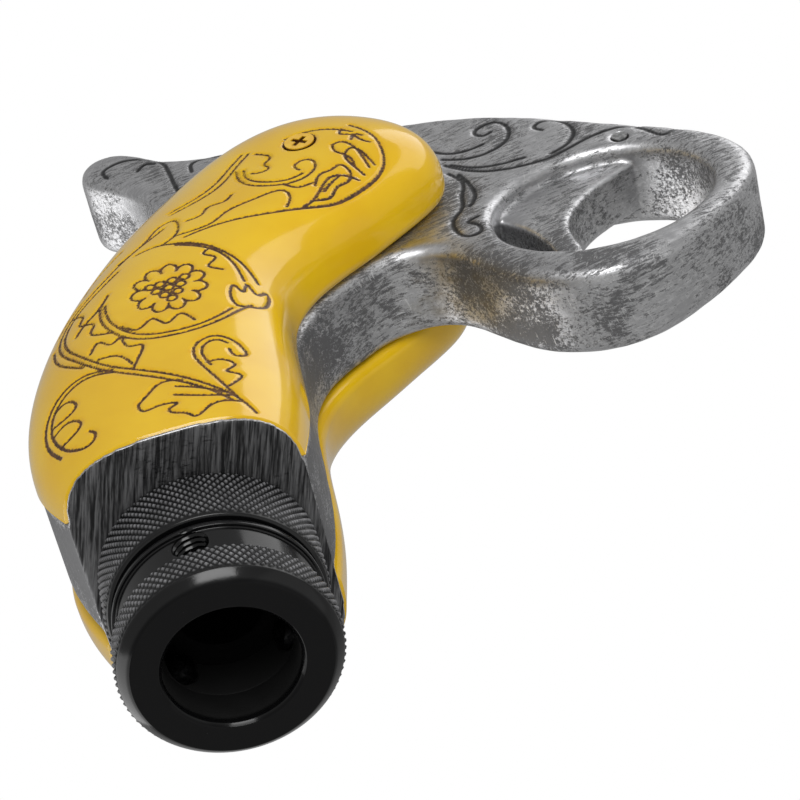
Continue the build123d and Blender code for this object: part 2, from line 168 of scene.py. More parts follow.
LINE_FAR = 3.0  # no distance to a line is kept beyond this


def smooth(points, step):
    """Points a step apart along a natural cubic spline through the given ones."""
    p = np.array(points, float)
    gaps = np.linalg.norm(np.diff(p, axis=0), axis=1)
    t = np.concatenate([[0], np.cumsum(gaps)])
    n = len(p)
    system = np.eye(n)
    sides = np.zeros_like(p)
    for i in range(1, n - 1):
        system[i, i - 1:i + 2] = gaps[i - 1], 2 * (gaps[i - 1] + gaps[i]), gaps[i]
        sides[i] = 6 * ((p[i + 1] - p[i]) / gaps[i] - (p[i] - p[i - 1]) / gaps[i - 1])
    bend = np.linalg.solve(system, sides)
    u = np.linspace(0, t[-1], max(2, int(t[-1] / step) + 1))
    k = np.clip(np.searchsorted(t, u, side="right") - 1, 0, n - 2)
    a = ((t[k + 1] - u) / gaps[k])[:, None]
    b = 1 - a
    curve = ((a**3 - a) * bend[k] + (b**3 - b) * bend[k + 1]) * (gaps[k]**2)[:, None] / 6
    return a * p[k] + b * p[k + 1] + curve


def ring(centre, radius, count=40):
    """A closed circle of points."""
    angles = np.linspace(0, 2 * math.pi, count)
    return [(centre[0] + radius * math.cos(a), centre[1] + radius * math.sin(a)) for a in angles]


def flower_point(angle, reach):
    """A point of the flower, at a share of its size from the centre."""
    return (FLOWER_CENTRE[0] + FLOWER_SIZE[0] * reach * math.cos(angle),
            FLOWER_CENTRE[1] + FLOWER_SIZE[1] * reach * math.sin(angle))


def flower():
    """The scalloped petal line, a vein in each notch, and the seeds."""
    petals = []
    for a in np.linspace(0, 2 * math.pi, PETAL_STEPS * FLOWER_LOBES + 1):
        reach = PETAL_NOTCH + PETAL_SWELL * abs(math.sin(a * FLOWER_LOBES / 2))**PETAL_POWER
        petals.append(flower_point(a, reach))
    lines = [petals]
    for i in range(FLOWER_LOBES):
        a = 2 * math.pi * i / FLOWER_LOBES
        lines.append([flower_point(a, reach) for reach in VEIN_REACH])
    for x, z in SEED_PLACES:
        lines.append(ring((FLOWER_CENTRE[0] + x, FLOWER_CENTRE[1] + z), SEED_RADIUS, SEED_STEPS))
    return lines


def tree_of(lines):
    """A search tree over points laid closely along all the lines."""
    points = np.concatenate([smooth(line, LINE_STEP) for line in lines])
    tree = kdtree.KDTree(len(points))
    for i, (x, z) in enumerate(points):
        tree.insert((x, z, 0), i)
    tree.balance()
    return tree


def distances(tree, x, z):
    """How far each (x, z) is from the nearest line, up to a limit."""
    return np.array([min(LINE_FAR, tree.find((a, b, 0))[2]) for a, b in zip(x, z)])


def face_outward(mesh):
    """Turns a mesh's face normals outward."""
    bm = bmesh.new()
    bm.from_mesh(mesh)
    bmesh.ops.recalc_face_normals(bm, faces=bm.faces)
    bm.to_mesh(mesh)
    bm.free()


def bake_modifiers(obj):
    """Turns an object's modifiers into its mesh."""
    bpy.context.view_layer.update()
    graph = bpy.context.evaluated_depsgraph_get()
    mesh = bpy.data.meshes.new_from_object(obj.evaluated_get(graph))
    obj.modifiers.clear()
    obj.data = mesh
    return mesh


def add_object(name, verts, faces, body):
    """A mesh object from points in mm, riding on a body."""
    mesh = bpy.data.meshes.new(name)
    mesh.from_pydata((np.asarray(verts) * MM).tolist(), [], faces)
    mesh.validate()
    face_outward(mesh)
    mesh.polygons.foreach_set("use_smooth", [True] * len(mesh.polygons))
    obj = bpy.data.objects.new(name, mesh)
    bpy.context.scene.collection.objects.link(obj)
    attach(obj, body)
    return obj


def set_attribute(obj, name, values):
    """A float per vertex, for the material."""
    layer = obj.data.attributes.new(name, "FLOAT", "POINT")
    layer.data.foreach_set("value", np.asarray(values, np.float32))


# ---------------------------------------------------------------- grip scales
CROWN = 22.0
CROWN_AT_SCREW = 20.6
EDGE_Y = 9.5
INNER_Y = 7.45
FOOT_Y = 12.15
FOOT_TOP = 49.2
SCALE_BOTTOM = 23.9
DOME_POWER = 2.7
HALF_WIDTH = 17.0
SIDE_COLUMNS = 380
CAP_COLUMNS = 290
DOME_ROWS = 84
GROOVE_DEPTH = 0.3
GROOVE_WIDTH = 0.26
COUNTERBORE = 1.0
COUNTERBORE_WALL = 0.25
SPINE_POINTS = 2000
SECTION_POINTS = 2000
COLUMN_CROWDING = 1.2
CROWN_FALL_START = 0.5  # share of the spine from which the crown falls towards the screw
UNDERSIDE_INSET = 7.0
LIP = ((1.5, 0.0), (0.7, 0.22), (0.25, 0.5), (0.05, 0.8))  # inset, share of the edge's height
LIP_LIFT = 0.03
DOME_CLEARANCE = 0.15
DOME_LIFT = 0.01


def resampled(points, count):
    """The same line in equal steps."""
    length = np.concatenate([[0], np.cumsum(np.linalg.norm(np.diff(points, axis=0), axis=1))])
    u = np.linspace(0, length[-1], count)
    return np.stack([np.interp(u, length, points[:, k]) for k in range(2)], 1)


def make_scale(name, node, side, lines):
    """A crowned scale: side is -1 for the right one and 1 for the left one."""
    outline = smooth(SCALE_BACK + SCALE_CAP + SCALE_FRONT, LINE_STEP)
    cut_a = int(np.argmin(np.linalg.norm(outline - np.array(SCALE_CAP[0]), axis=1)))
    cut_b = int(np.argmin(np.linalg.norm(outline - np.array(SCALE_CAP[-2]), axis=1)))
    back = resampled(outline[:cut_a + 1], SIDE_COLUMNS + 1)
    cap = resampled(outline[cut_a:cut_b + 1], CAP_COLUMNS + 1)[1:-1]
    front = resampled(outline[cut_b:], SIDE_COLUMNS + 1)
    edge = np.concatenate([back, cap, front])
    spine = resampled(smooth(SCALE_SPINE, LINE_STEP), SPINE_POINTS)
    q = np.linspace(0, 1, SIDE_COLUMNS + 1)
    t_side = 1 - (1 - q)**COLUMN_CROWDING
    t = np.concatenate([t_side, np.ones(len(cap)), t_side[::-1]])
    middle = np.stack([np.interp(t, np.linspace(0, 1, len(spine)), spine[:, k]) for k in range(2)], 1)
    ease = np.clip((t - CROWN_FALL_START) / (1 - CROWN_FALL_START), 0, 1)
    crown = CROWN - (CROWN - CROWN_AT_SCREW) * ease**2 * (3 - 2 * ease)
    columns = len(edge)

    inner = np.full_like(edge[:, 1], INNER_Y)
    if side < 0:
        rise = (edge[:, 1] - SCALE_BOTTOM) / (FOOT_TOP - SCALE_BOTTOM)
        inner = np.maximum(INNER_Y, FOOT_Y + (INNER_Y - FOOT_Y) * rise)
    verts, faces, rows = [], [], []

    def add_row(points, y):
        """One line of points along the outline, at a height from the middle plane."""
        rows.append(list(range(len(verts), len(verts) + len(points))))
        verts.extend(zip(points[:, 0], side * y, points[:, 1]))

    reach = np.linalg.norm(middle - edge, axis=1)[:, None]
    inward = (middle - edge) / reach
    add_row(edge + inward * UNDERSIDE_INSET, inner)
    for row, (inset, share) in enumerate(LIP):
        lip_y = INNER_Y + (EDGE_Y - INNER_Y) * share
        add_row(edge + inward * inset, np.maximum(lip_y, inner + LIP_LIFT * row))
    angle = np.linspace(0, math.pi / 2, SECTION_POINTS)
    across = HALF_WIDTH * (1 - np.cos(angle)**(2 / DOME_POWER))
    upward = (CROWN - EDGE_Y) * np.sin(angle)**(2 / DOME_POWER)
    section = resampled(np.stack([across, upward], 1), DOME_ROWS + 1)
    for k in range(DOME_ROWS):
        w = section[k, 0] / HALF_WIDTH
        lift = section[k, 1] / (CROWN - EDGE_Y)
        dome = EDGE_Y + (crown - EDGE_Y) * lift
        add_row(edge * (1 - w) + middle * w, np.maximum(dome, inner + DOME_CLEARANCE + DOME_LIFT * k))
    last = []
    first_spine = len(verts)
    for i in range(SIDE_COLUMNS + 1):
        verts.append((middle[i, 0], side * crown[i], middle[i, 1]))
    for i in range(columns):
        if i <= SIDE_COLUMNS:
            last.append(first_spine + i)
        elif i < SIDE_COLUMNS + 1 + len(cap):
            last.append(first_spine + SIDE_COLUMNS)
        else:
            last.append(first_spine + columns - 1 - i)
    rows.append(last)
    for low_row, high_row in zip(rows, rows[1:]):
        for i in range(columns - 1):
            corners = [low_row[i], low_row[i + 1], high_row[i + 1], high_row[i]]
            unique = [v for k, v in enumerate(corners) if v != corners[k - 1]]
            if len(set(unique)) >= 3:
                faces.append(unique)
    faces.append(rows[0][::-1])
    ends = [row[0] for row in rows[:-1]] + [first_spine] + [row[-1] for row in reversed(rows[:-1])]
    faces.append(ends)
    verts = np.array(verts, float)
    near = distances(tree_of(lines), verts[:, 0], verts[:, 2])
    outer = np.zeros(len(verts), bool)
    outer[rows[1 + len(LIP)][0]:] = True
    near = np.where(outer, near, LINE_FAR)
    verts[:, 1] -= side * GROOVE_DEPTH * np.exp(-(near / GROOVE_WIDTH)**2)
    from_screw = np.hypot(verts[:, 0] - SCREW_PLACE[0], verts[:, 2] - SCREW_PLACE[1])
    sunk = np.clip((SCREW_RING - from_screw) / COUNTERBORE_WALL, 0, 1) * outer
    verts[:, 1] -= side * COUNTERBORE * sunk
    obj = add_object(name, verts, faces, "grip")
    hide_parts(node)
    set_attribute(obj, "line", near)
    return obj


scale_lines = STEMS + LEAVES + flower() + [ring(SCREW_PLACE, SCREW_RING)]
right_scale = make_scale("right_scale_shell", "right_grip_scale", -1, scale_lines)
left_scale = make_scale("left_scale_shell", "left_grip_scale", 1, scale_lines)

# ---------------------------------------------------------------- cast frame with its trigger
CAST_VOXEL = 0.42
CAST_SMOOTHING = 6
CAST_SOFTENING = 0.5
CAST_WOBBLE = 0.09
WOBBLE_BROAD = 0.16
WOBBLE_FINE = 0.45
WOBBLE_SHARE = 0.5
METAL_GROOVE = 0.32
METAL_GROOVE_WIDTH = 0.46
PLATE_FACE = 7.3
PLATE_BAND = 0.7  # points this near the side faces can carry engraving
PIN_MARK_FAINTNESS = 0.28
STILL_BELOW = 40  # the butt keeps its machined shape below this height
WEAR_ROUNDS = 6
WEAR_GAIN = 12


def make_casting():
    """The frame and trigger as one aged casting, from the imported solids, with the scrolls cut in."""
    bm = bmesh.new()
    for name in ("frame", "trigger"):
        bm.from_mesh(nodes[name].data)
    mesh = bpy.data.meshes.new("casting")
    bmesh.ops.remove_doubles(bm, verts=bm.verts, dist=1e-7)
    bm.to_mesh(mesh)
    bm.free()
    obj = bpy.data.objects.new("cast_frame", mesh)
    bpy.context.scene.collection.objects.link(obj)
    remesh = obj.modifiers.new("remesh", "REMESH")
    remesh.mode = "VOXEL"
    remesh.voxel_size = CAST_VOXEL * MM
    soften = obj.modifiers.new("soften", "SMOOTH")
    soften.factor = CAST_SOFTENING
    soften.iterations = CAST_SMOOTHING
    done = bake_modifiers(obj)
    count = len(done.vertices)
    place = np.zeros(count * 3)
    normal = np.zeros(count * 3)
    done.vertices.foreach_get("co", place)
    done.vertices.foreach_get("normal", normal)
    place = place.reshape(-1, 3) / MM
    normal = normal.reshape(-1, 3)
    pairs = np.zeros(len(done.edges) * 2, int)
    done.edges.foreach_get("vertices", pairs)
    pairs = pairs.reshape(-1, 2)
    bulge = np.zeros(count)
    links = np.zeros(count)
    for a, b in ((0, 1), (1, 0)):
        step = place[pairs[:, a]] - place[pairs[:, b]]
        np.add.at(bulge, pairs[:, a], (step * normal[pairs[:, a]]).sum(1))
        np.add.at(links, pairs[:, a], 1)
    bulge /= np.maximum(links, 1)
    for _ in range(WEAR_ROUNDS):
        total = bulge.copy()
        for a, b in ((0, 1), (1, 0)):
            np.add.at(total, pairs[:, a], bulge[pairs[:, b]])
        bulge = total / (links + 1)
    wobble = np.array([noise.noise(Vector(p) * WOBBLE_BROAD)
                       + WOBBLE_SHARE * noise.noise(Vector(p) * WOBBLE_FINE)
                       for p in place])
    on_side = np.abs(np.abs(place[:, 1]) - PLATE_FACE) < PLATE_BAND
    near = np.full(count, LINE_FAR)
    flat = place[on_side]
    mark = distances(tree_of([ring(PIN_MARK, PIN_MARK_RADIUS)]), flat[:, 0], flat[:, 2])
    scroll = distances(tree_of(METAL_LINES), flat[:, 0], flat[:, 2])
    near[on_side] = np.minimum(scroll, mark + PIN_MARK_FAINTNESS)
    groove = METAL_GROOVE * np.exp(-(near / METAL_GROOVE_WIDTH)**2)
    free = place[:, 2] > STILL_BELOW
    place += normal * (CAST_WOBBLE * wobble * free - groove)[:, None]
    done.vertices.foreach_set("co", (place * MM).ravel())
    done.polygons.foreach_set("use_smooth", [True] * len(done.polygons))
    done.update()
    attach(obj, "grip")
    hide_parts("frame", "trigger")
    set_attribute(obj, "line", near)
    set_attribute(obj, "wear", bulge * WEAR_GAIN)
    return obj


casting = make_casting()

# ---------------------------------------------------------------- knurled collar and base
COLLAR_RADIUS = 15.0
BORE_RADIUS = 9.0
KNURL_ROUND = 84
KNURL_AXIAL = 1.34
KNURL_DEPTH = 0.42
KNURL_STEPS = 8
KNURL_SLOPE = 1.15
KNURL_CREST = 0.9  # the diamonds' points are flattened at this height
KNURL_FADE = 0.25
THREAD_OUTER = 2.62
THREAD_INNER = 2.3
THREAD_PITCH = 0.8
THREAD_AROUND = 36
THREAD_TURNS = 9
THREAD_STEPS = 8  # rows of points in each turn
THREAD_START = 8.0  # from the lever's axis
THREAD_SLOPE = 1.3
SET_SCREW_Z = 9.4
SET_SCREW_ANGLES = (-94.0, 26.0, 146.0)
WAIST_CORNERS = [(9.0, 6.5), (13.6, 6.5), (13.6, 11.8), (14.2, 11.8), (14.2, 12.7), (11.0, 12.7),
                 (11.0, 25.0), (9.0, 25.0)]
WAIST_EASE = 0.22
BEVEL_STEPS = 3
WAIST_AROUND = 256
SHARP_ANGLE = math.radians(38)


def knurl_height(angle, z):
    """How far a point of the diamond pattern stands above the grooves, from 0 to 1."""
    u = angle * KNURL_ROUND / (2 * math.pi)
    v = z / KNURL_AXIAL
    ridges = [1 - np.abs(2 * ((u + s * v) % 1) - 1) for s in (1, -1)]
    return np.minimum(np.minimum(*ridges) * KNURL_SLOPE, KNURL_CREST)


def ring_faces(count, around):
    """The faces between the circles of a closed, turned profile."""
    faces = []
    for i in range(count):
        for j in range(around):
            a, b = i * around, (i + 1) % count * around
            k = (j + 1) % around
            faces.append((a + j, a + k, b + k, b + j))
    return faces


def knurled_ring(name, body, profile, band):
    """A turned ring of (radius, z) points whose outer band carries diamonds."""
    around = KNURL_ROUND * KNURL_STEPS
    angles = np.arange(around) * 2 * math.pi / around
    verts, heights = [], []
    for r, z in profile:
        height = np.zeros(around)
        if band[0] <= z <= band[1] and abs(r - COLLAR_RADIUS) < 1e-6:
            ends = min(z - band[0], band[1] - z) / KNURL_FADE
            height = knurl_height(angles, z) * min(1, ends)
            height = height * KNURL_DEPTH
            radius = r - KNURL_DEPTH * KNURL_CREST + height
        else:
            radius = np.full(around, r)
        heights.append(height / KNURL_DEPTH)
        verts.append(np.stack([radius * np.cos(angles), radius * np.sin(angles), np.full(around, z)], 1))
    obj = add_object(name, np.concatenate(verts), ring_faces(len(profile), around), body)
    set_attribute(obj, "wear", np.concatenate(heights))
    return obj


def band_rows(low, high):
    """The rows of the knurled band, fine enough for its diamonds."""
    count = int(round((high - low) / KNURL_AXIAL * KNURL_STEPS))
    return [(COLLAR_RADIUS, z) for z in np.linspace(low, high, count + 1)]


def rounded(corners, bevel):
    """A profile whose corners are eased by a bevel, in mm."""
    out = []
    count = len(corners)
    for i, corner in enumerate(corners):
        corner = np.array(corner, float)
        before = np.array(corners[i - 1], float) - corner
        after = np.array(corners[(i + 1) % count], float) - corner
        size = min(bevel, np.linalg.norm(before) / 3, np.linalg.norm(after) / 3)
        a = corner + before / np.linalg.norm(before) * size
        b = corner + after / np.linalg.norm(after) * size
        for s in np.linspace(0, 1, BEVEL_STEPS + 1):
            out.append(tuple((1 - s)**2 * a + 2 * s * (1 - s) * corner + s**2 * b))
    return out


front_band = (1.85, 6.2)
front_profile = [(BORE_RADIUS, 6.5), (BORE_RADIUS, 0.66), (9.03, 0.56), (9.1, 0.45), (9.4, 0.12),
                 (9.5, 0.03), (9.62, 0.0), (9.8, 0.0), (12.8, 0.0), (12.98, 0.0), (13.08, 0.02),
                 (13.18, 0.08), (14.5, 1.42), (14.6, 1.55), (14.66, 1.72)]
front_profile += band_rows(*front_band) + [(14.5, 6.36), (14.2, 6.5)]
collar_front = knurled_ring("collar_front", "collar", front_profile, front_band)

base_band = (13.9, 22.9)
base_profile = [(11.05, 13.4), (14.1, 13.4), (14.5, 13.46), (14.66, 13.7)] + band_rows(*base_band)
base_profile += [(14.6, 23.0), (12.6, 23.0), (12.6, 36.95), (9.6, 36.95), (9.6, 25.05), (11.05, 25.05)]
base_ring = knurled_ring("base_knurl", "grip", base_profile, base_band)
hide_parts("knurled_base")


def turned(profile, around):
    """Points and faces of a profile turned round the lever's axis."""
    angles = np.arange(around) * 2 * math.pi / around
    verts = np.concatenate([np.stack([r * np.cos(angles), r * np.sin(angles), np.full(around, z)], 1)
                            for r, z in profile])
    return verts, ring_faces(len(profile), around)


def threaded_cutter(angle):
    """A screw thread's shape, which cuts one tapped hole through the waist."""
    around = THREAD_AROUND
    length = THREAD_TURNS * THREAD_PITCH
    verts, faces = [], []
    steps = THREAD_TURNS * THREAD_STEPS
    for i in range(steps + 1):
        for j in range(around):
            a = 2 * math.pi * j / around
            phase = (i / THREAD_STEPS + j / around) % 1
            depth = abs(2 * phase - 1)
            r = THREAD_INNER + (THREAD_OUTER - THREAD_INNER) * min(1, THREAD_SLOPE * depth)
            verts.append((THREAD_START + i * length / steps, r * math.cos(a), r * math.sin(a)))
    for i in range(steps):
        for j in range(around):
            k = (j + 1) % around
            faces.append((i * around + j, i * around + k, (i + 1) * around + k, (i + 1) * around + j))
    faces.append(tuple(range(around)))
    faces.append(tuple(reversed(range(steps * around, (steps + 1) * around))))
    mesh = bpy.data.meshes.new("cutter")
    mesh.from_pydata(verts, [], faces)
    place = Matrix.Rotation(math.radians(angle), 4, "Z") @ Matrix.Translation((0, 0, SET_SCREW_Z))
    mesh.transform(Matrix.Scale(MM, 4) @ place)
    face_outward(mesh)
    return bpy.data.objects.new("cutter", mesh)


def make_waist():
    """The collar's smooth waist, lip and spigot, with three tapped holes."""
    verts, faces = turned(rounded(WAIST_CORNERS, WAIST_EASE), WAIST_AROUND)
    obj = add_object("collar_waist", verts, faces, "collar")
    cutters = []
    for angle in SET_SCREW_ANGLES:
        cutter = threaded_cutter(angle)
        bpy.context.scene.collection.objects.link(cutter)
        cut = obj.modifiers.new("cut", "BOOLEAN")
        cut.operation = "DIFFERENCE"
        cut.solver = "EXACT"
        cut.object = cutter
        cutters.append(cutter)
    done = bake_modifiers(obj)
    for cutter in cutters:
        bpy.data.objects.remove(cutter)
    done.set_sharp_from_angle(angle=SHARP_ANGLE)
    return obj


collar_waist = make_waist()
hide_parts("clamp_collar")


# ---------------------------------------------------------------- materials
class Shader:
    """A material being built up from nodes."""

    def __init__(self, name, **values):
        self.material = bpy.data.materials.new(name)
        self.material.use_nodes = True
        self.tree = self.material.node_tree
        self.bsdf = self.tree.nodes["Principled BSDF"]
        for key, value in values.items():
            self.bsdf.inputs[key.replace("_", " ")].default_value = value
        self.coords = self.add("ShaderNodeTexCoord").outputs["Object"]

    def add(self, kind, inputs=(), **settings):
        """A node, with its inputs set or linked."""
        node = self.tree.nodes.new(kind)
        for key, value in settings.items():
            setattr(node, key, value)
        for key, value in dict(inputs).items():
            self.put(node.inputs[key], value)
        return node

    def put(self, socket, value):
        """Links a socket to an output, or sets its value."""
        if isinstance(value, bpy.types.NodeSocket):
            self.tree.links.new(value, socket)
        else:
            socket.default_value = value

    def stretch(self, scale, turn=(0, 0, 0)):
        """Coordinates scaled per axis, after a turn in degrees."""
        turned_by = self.add("ShaderNodeMapping", {"Vector": self.coords,
                                                    "Rotation": [math.radians(a) for a in turn]})
        sized = self.add("ShaderNodeMapping", {"Vector": turned_by.outputs[0], "Scale": scale})
        return sized.outputs[0]

    def noise(self, size, detail=4.0, rough=0.55, coords=None, distortion=0.0):
        """Noise with features of about a size in mm."""
        scale = 1 / (size * MM) if coords is None else 1.0
        inputs = {"Vector": coords or self.coords, "Scale": scale, "Detail": detail, "Roughness": rough,
                  "Distortion": distortion}
        node = self.add("ShaderNodeTexNoise", inputs)
        return node.outputs["Fac"]

    def ramp(self, value, low, high, out_low=0.0, out_high=1.0):
        """A value eased from one range to another."""
        node = self.add("ShaderNodeMapRange", {0: value, 1: low, 2: high, 3: out_low, 4: out_high},
                        interpolation_type="SMOOTHSTEP")
        return node.outputs[0]

    def math(self, kind, a, b=0.0):
        """One sum of two values."""
        return self.add("ShaderNodeMath", {0: a, 1: b}, operation=kind).outputs[0]

    def mix(self, factor, a, b):
        """A colour between two others."""
        node = self.add("ShaderNodeMix", data_type="RGBA")
        self.put(node.inputs[0], factor)
        for index, colour in ((6, a), (7, b)):
            linked = isinstance(colour, bpy.types.NodeSocket)
            self.put(node.inputs[index], colour if linked else (*colour, 1))
        return node.outputs[2]

    def attribute(self, name):
        """A value kept on the mesh's points."""
        return self.add("ShaderNodeAttribute", attribute_name=name).outputs["Fac"]

    def axis(self, name):
        """The place along one axis, in metres."""
        return self.add("ShaderNodeSeparateXYZ", {0: self.coords}).outputs[name]

    def normal(self, name):
        """The surface normal's share along one axis."""
        geometry = self.add("ShaderNodeTexCoord").outputs["Normal"]
        return self.add("ShaderNodeSeparateXYZ", {0: geometry}).outputs[name]

    def bump(self, height, strength, distance):
        """Fine relief, with its height in mm."""
        inputs = {"Height": height, "Strength": strength, "Distance": distance * MM}
        node = self.add("ShaderNodeBump", inputs)
        self.tree.links.new(node.outputs[0], self.bsdf.inputs["Normal"])

    def finish(self, colour, roughness=None, metallic=None):
        """The material, once its colour and finish are linked."""
        self.put(self.bsdf.inputs["Base Color"], colour)
        if roughness is not None:
            self.put(self.bsdf.inputs["Roughness"], roughness)
        if metallic is not None:
            self.put(self.bsdf.inputs["Metallic"], metallic)
        return self.material


def yellow_lacquer():
    """Clear-coated yellow, with brown engraved lines and a stain beside them."""
    s = Shader("yellow_lacquer", Coat_Weight=0.3, Coat_Roughness=0.04, Specular_IOR_Level=0.4)
    distance = s.attribute("line")
    ragged = s.math("ADD", distance, s.ramp(s.noise(0.35, 3), 0.3, 0.7, -0.06, 0.06))
    line = s.ramp(ragged, 0.15, 0.31, 1, 0)
    halo = s.ramp(distance, 0.25, 1.2, 1, 0)
    body = s.mix(s.ramp(s.noise(14, 3), 0.3, 0.7), (0.79, 0.465, 0.004), (0.86, 0.54, 0.007))
    stain = s.math("MULTIPLY", halo, s.ramp(s.noise(1.4, 4), 0.35, 0.8, 0.0, 0.45))
    stained = s.mix(stain, body, (0.72, 0.32, 0.006))
    specks = s.ramp(s.noise(0.5, 2), 0.72, 0.8, 0, 0.35)
    stained = s.mix(specks, stained, (0.66, 0.31, 0.01))
    brown = s.mix(s.ramp(s.noise(0.8, 3), 0.35, 0.65), (0.04, 0.014, 0.004), (0.13, 0.05, 0.008))
    colour = s.mix(line, stained, brown)
    rough = s.ramp(line, 0, 1, 0.14, 0.6)
    s.bump(s.noise(1.6, 3), 0.06, 0.25)
    return s.finish(colour, rough)


REFLECTION_PLACE = (0.044, 0.0, 0.071)  # where a painted reflection of the yellow scale tints the metal olive, under the scale's nose


def aged_metal():
    """Bright cast metal under a dark patina that is rubbed off its edges, with painted shade towards the
    bottom and under the bow, and a painted reflection of the yellow scale under its nose.
    """
    s = Shader("aged_metal", Specular_IOR_Level=0.5)
    wear = s.attribute("wear")
    line = s.attribute("line")
    blotch = s.noise(9, 4, 0.6)
    fleck = s.noise(1, 6, 0.75, coords=s.stretch((480, 2300, 2300), (0, 12, 0)), distortion=0.5)
    streak = s.noise(1, 5, 0.7, coords=s.stretch((330, 1500, 2600), (0, 16, 0)))
    scratch = s.noise(1, 4, 0.7, coords=s.stretch((3200, 330, 500), (15, -30, 8)))
    tone = s.math("ADD", s.math("MULTIPLY", blotch, 0.4), s.math("MULTIPLY", streak, 0.6))
    # painted shade: the metal darkens towards the bottom, near the collar
    low_shade = s.ramp(s.axis("Z"), 0.03, 0.05, 0.06, 0)
    colour = s.mix(s.ramp(tone, 0.4, 0.6), (0.46, 0.46, 0.47), (0.74, 0.74, 0.75))
    dark = s.math("ADD", s.math("MULTIPLY", fleck, 0.55), s.math("MULTIPLY", streak, 0.45))
    dark = s.math("ADD", s.math("ADD", dark, low_shade), s.ramp(blotch, 0.3, 0.7, -0.08, 0.09))
    # painted shade under the bow, on the strap's underside
    under_bow = s.ramp(s.axis("Z"), 0.078, 0.070)
    painted_strap_shade = s.math("MULTIPLY", s.ramp(s.axis("X"), 0.078, 0.052, 0, 0.07), under_bow)
    dark = s.math("SUBTRACT", s.math("ADD", dark, painted_strap_shade), s.ramp(wear, 0.05, 0.5, 0, 0.16))
    dark = s.math("ADD", dark, s.ramp(wear, -0.6, -0.05, 0.12, 0))
    # real patina in hollows plus the painted shade above, as one mask
    patina_and_painted_shade = s.ramp(s.math("ADD", dark, s.ramp(s.noise(0.18, 3), 0.3, 0.7, -0.03, 0.03)), 0.455, 0.60)
    colour = s.mix(s.math("MULTIPLY", patina_and_painted_shade, 0.86), colour, (0.055, 0.055, 0.058))
    bright = s.ramp(s.math("ADD", scratch, s.ramp(wear, 0.1, 0.6, 0, 0.25)), 0.60, 0.70)
    bright = s.math("MULTIPLY", bright, s.ramp(s.axis("Z"), 0.026, 0.045, 0.25, 1))
    colour = s.mix(s.math("MULTIPLY", bright, 0.75), colour, (0.72, 0.72, 0.72))
    butt = s.math("MULTIPLY", s.ramp(s.axis("Z"), 0.0246, 0.0240), s.ramp(s.normal("Z"), -0.6, -0.8))
    lines = s.noise(1, 3, 0.6, coords=s.stretch((3000, 160, 500), (0, 0, -17)))
    butt_colour = s.mix(s.ramp(lines, 0.36, 0.72), (0.02, 0.02, 0.021), (0.22, 0.22, 0.225))
    colour = s.mix(butt, colour, butt_colour)
    groove = s.ramp(line, 0.2, 0.55, 0.9, 0)
    colour = s.mix(groove, colour, (0.014, 0.014, 0.015))
    # painted reflection: an olive tint on the metal, fading out from the place under the scale's nose
    from_reflection = s.add("ShaderNodeVectorMath", {0: s.coords, 1: REFLECTION_PLACE}, operation="SUBTRACT").outputs[0]
    reach = s.add("ShaderNodeVectorMath", {0: from_reflection}, operation="LENGTH").outputs["Value"]
    painted_reflection = s.math("MULTIPLY", s.ramp(reach, 0.003, 0.011, 0.6, 0), s.ramp(s.noise(3, 4), 0.45, 0.7))
    colour = s.mix(painted_reflection, colour, (0.14, 0.10, 0.02))
    height = s.math("SUBTRACT", s.math("MULTIPLY", scratch, 0.5), s.math("MULTIPLY", patina_and_painted_shade, 0.5))
    s.bump(height, 0.3, 0.06)
    return s.finish(colour, s.ramp(patina_and_painted_shade, 0, 1, 0.36, 0.55), s.ramp(patina_and_painted_shade, 0, 1, 1.0, 0.7))


def black_anodised(name, rough_low, rough_high, gloss, worn_and_sheen_colour):
    """Black metal, paler on the points of its knurl where the black is worn and a highlight is painted in,
    and with painted shade and a duller finish inside the bore.
    """
    s = Shader(name, Metallic=0.0)
    wear = s.attribute("wear")
    fine = s.noise(0.3, 4)
    # the knurl points: worn pale anodising, partly a painted highlight
    edge = s.math("MULTIPLY", s.ramp(wear, 0.25, 0.95), s.ramp(s.noise(2.5, 4), 0.3, 0.7, 0.45, 1))
    colour = s.mix(edge, (0.0035, 0.0035, 0.0038), worn_and_sheen_colour)
    colour = s.mix(s.ramp(s.noise(0.45, 2), 0.74, 0.8, 0, 0.5), colour, (0.08, 0.08, 0.08))
    s.bump(fine, 0.12, 0.03)
    radius = s.add("ShaderNodeVectorMath", {0: s.stretch((1, 1, 0))}, operation="LENGTH").outputs["Value"]
    # painted shade: the inside of the bore is painted near black, and is also made rougher
    bore_shade = s.math("MULTIPLY", s.ramp(radius, 0.0098, 0.0092), s.ramp(s.axis("Z"), 0.0008, 0.002))
    colour = s.mix(bore_shade, colour, (0.001, 0.001, 0.001))
    rough = s.ramp(s.noise(3, 4), 0.3, 0.7, rough_low, rough_high)
    rough = s.math("ADD", rough, s.math("MULTIPLY", bore_shade, 0.6))
    rough = s.math("ADD", rough, s.ramp(radius, 0.0144, 0.0147, 0, 0.2))
    face = s.ramp(s.axis("Z"), 0.0002, 0.0006, 0.35, 1)
    s.put(s.bsdf.inputs["Specular IOR Level"], s.math("MULTIPLY", face, gloss))
    return s.finish(colour, rough)


def plain_black(name, dark, light, rough, gloss=0.5):
    """Black rubber or nylon."""
    s = Shader(name, Specular_IOR_Level=gloss)
    colour = s.mix(s.ramp(s.noise(0.7, 4), 0.35, 0.7), dark, light)
    s.bump(s.noise(0.25, 3), 0.15, 0.04)
    return s.finish(colour, s.ramp(s.noise(1.5, 3), 0.3, 0.7, rough - 0.08, rough + 0.08))


